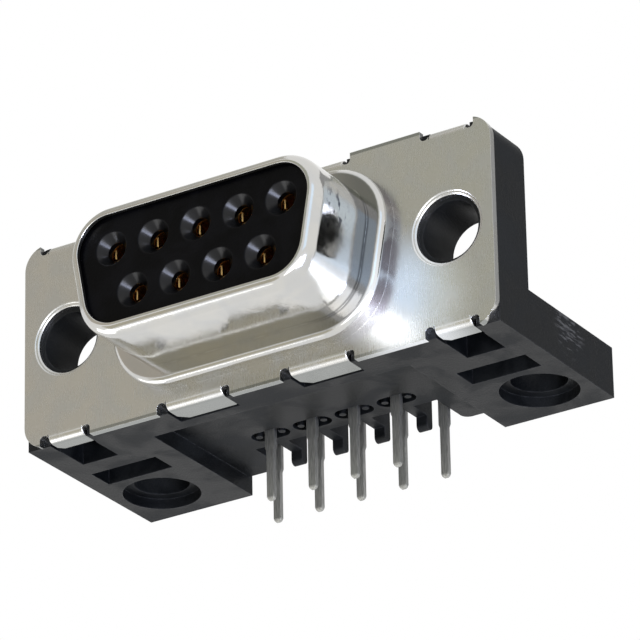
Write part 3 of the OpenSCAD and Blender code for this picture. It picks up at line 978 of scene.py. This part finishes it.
colour = blend_colours(tt, ramp(tt, clouds, 0.35, 0.65), TIN_WARM, TIN_COOL)
for mask, shade in ((shaded_lip, SHADED_LIP_TIN), (painted_glow, PAINTED_GLOW_TIN), (step_dark_reflection, STEP_DARK_REFLECTION), (neck_shade, NECK_SHADE),
                    (side_dark_reflection.outputs["Scuff"], SIDE_DARK_REFLECTION), (edge.outputs["Edge"], TIN_EDGE)):
    colour = blend_colours(tt, mask, colour, shade)
tt.links.new(colour, tin_shader.inputs["Base Color"])

# The drawn wall is smoother than the plate, and its waves are stronger.
drawn_wall = ramp(tt, place["Y"], -0.9, -0.4, 1.0, 0.0)
rough = maths(tt, "ADD", ramp(tt, clouds, 0.3, 0.7, 0.21, 0.28),
              times(tt, rolled.outputs["Streak"], 0.05))
tt.links.new(maths(tt, "SUBTRACT", rough, times(tt, drawn_wall, 0.15)),
             tin_shader.inputs["Roughness"])
waves = times(tt, clouds, maths(tt, "ADD", 3.0, times(tt, drawn_wall, 2.5)))
bumped(tt, tin_shader, maths(tt, "ADD", rolled.outputs["Height"], waves), 0.25, 0.00001)
print("bright tin:", len(tt.nodes), "nodes")

# %% [markdown]
# The bracket is glass-filled plastic: near black, slightly rough and paler at its edges. One side
# of it is scuffed. Very dark colours need a low specular level, or the white room greys them.

# %% Bracket plastic
BLACK_DEEP, BLACK_PALE = (0.003, 0.0036, 0.0042), (0.007, 0.0082, 0.009)
BLACK_EDGE, BLACK_SCUFF = (0.035, 0.036, 0.038), (0.07, 0.07, 0.07)
SCUFF_CENTRE = (15.4, 7.9, -3.9)

black, bt, black_shader = finish("bracket_black", specular=0.2)
body = use(bt, grain, Grain_Scale=11.0, Flow_Scale=0.35)
edge = use(bt, wear, Width=0.00012, Amount=0.7)
marks = use(bt, scuff_and_reflection, Centre=SCUFF_CENTRE, Reach=1.9, Stretch=(300, 1100, 5200))
tone = blend_colours(bt, body.outputs["Flow"], BLACK_DEEP, BLACK_PALE)
tone = blend_colours(bt, edge.outputs["Edge"], tone, BLACK_EDGE)
tone = blend_colours(bt, marks.outputs["Scuff"], tone, BLACK_SCUFF)
bt.links.new(tone, black_shader.inputs["Base Color"])
bt.links.new(ramp(bt, body.outputs["Flow"], 0.0, 1.0, 0.38, 0.60),
             black_shader.inputs["Roughness"])
bumped(bt, black_shader, maths(bt, "ADD", body.outputs["Grain"],
                               times(bt, marks.outputs["Scuff"], 1.5)), 0.6, 0.00003)
print("bracket black:", len(bt.nodes), "nodes")

# %% [markdown]
# The nose is a finer moulding and darker still. Its lead-in cones are smoother than its face, so a
# coat comes in just behind the face and draws a soft light in each cone.

# %% Nose plastic
NOSE_DEEP, NOSE_PALE = (0.0012, 0.0012, 0.0016), (0.0024, 0.0024, 0.0032)
CONE_COAT = 0.5

dark, dt, dark_shader = finish("nose_black", specular=0.08)
body = use(dt, grain, Grain_Scale=7.0, Flow_Scale=0.6)
dt.links.new(blend_colours(dt, body.outputs["Flow"], NOSE_DEEP, NOSE_PALE),
             dark_shader.inputs["Base Color"])
dt.links.new(ramp(dt, body.outputs["Flow"], 0.0, 1.0, 0.30, 0.40),
             dark_shader.inputs["Roughness"])
depth = node(dt, "ShaderNodeSeparateXYZ", Vector=object_place(dt)).outputs["Y"]
dt.links.new(ramp(dt, depth, NOSE_Y + 0.02, NOSE_Y + 0.08, 0.0, CONE_COAT),
             dark_shader.inputs["Coat Weight"])
dark_shader.inputs["Coat Roughness"].default_value = 0.2
bumped(dt, dark_shader, body.outputs["Grain"], 0.45, 0.00003)
print("nose black:", len(dt.nodes), "nodes")

# %% [markdown]
# A contact is gold where it meets the pin, and tinned where it is soldered. The change lies at the
# plate, from just in front of its face to behind it, in metres as the finished piece has them.

# %% Contact metal
GOLD, TIN_DULL, TIN_BRIGHT = (0.62, 0.36, 0.12), (0.33, 0.33, 0.31), (0.52, 0.52, 0.49)
GOLD_END, TIN_START = -0.0002, 0.0006

metal, mt, metal_shader = finish("gold_and_tin", metallic=1.0)
drawn = use(mt, streaks, Stretch=(9000, 9000, 500), Detail=4.0)
depth = node(mt, "ShaderNodeSeparateXYZ",
             Vector=node(mt, "ShaderNodeTexCoord").outputs["Object"]).outputs["Y"]
dull = blend_colours(mt, drawn.outputs["Streak"], TIN_DULL, TIN_BRIGHT)
mt.links.new(blend_colours(mt, ramp(mt, depth, GOLD_END, TIN_START), GOLD, dull),
             metal_shader.inputs["Base Color"])
mt.links.new(ramp(mt, depth, GOLD_END, TIN_START, 0.24, 0.5), metal_shader.inputs["Roughness"])
bumped(mt, metal_shader, drawn.outputs["Height"], 0.4, 0.00002)
print("finishes:", [m.name for m in (tin, black, dark, metal)])

# %% [markdown]
# ## Finishing the pieces
# Smooth shading stops at real edges, and weighted normals keep the big flat faces flat beside their
# small radii. Then each piece is brought to metres, rides on the body and stands for its CAD node.


# %% Hand over
def hand_over(obj, material, slot, *nodes, smooth=40):
    only(obj)
    obj.data.materials.clear()
    obj.data.materials.append(material)
    bpy.ops.object.shade_smooth_by_angle(angle=math.radians(smooth))
    even = obj.modifiers.new("even", "WEIGHTED_NORMAL")
    even.keep_sharp = True
    apply_all(obj)
    obj.scale = (0.001,) * 3
    settle()
    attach(obj, "root")
    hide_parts(*nodes)


hand_over(shell, tin, "tinned_shell", "front_shell")
hand_over(insulator, dark, "insulator_plastic", "socket_insulator")
hand_over(bracket, black, "bracket_plastic", "bracket", smooth=35)
for number, piece in enumerate(contacts, 1):
    hand_over(piece, metal, "contact_metal", f"contact_{number}")
for piece in [shell, insulator, bracket, contacts[0]]:
    piece.data.calc_loop_triangles()
    print(piece.name, len(piece.data.loop_triangles), "triangles")
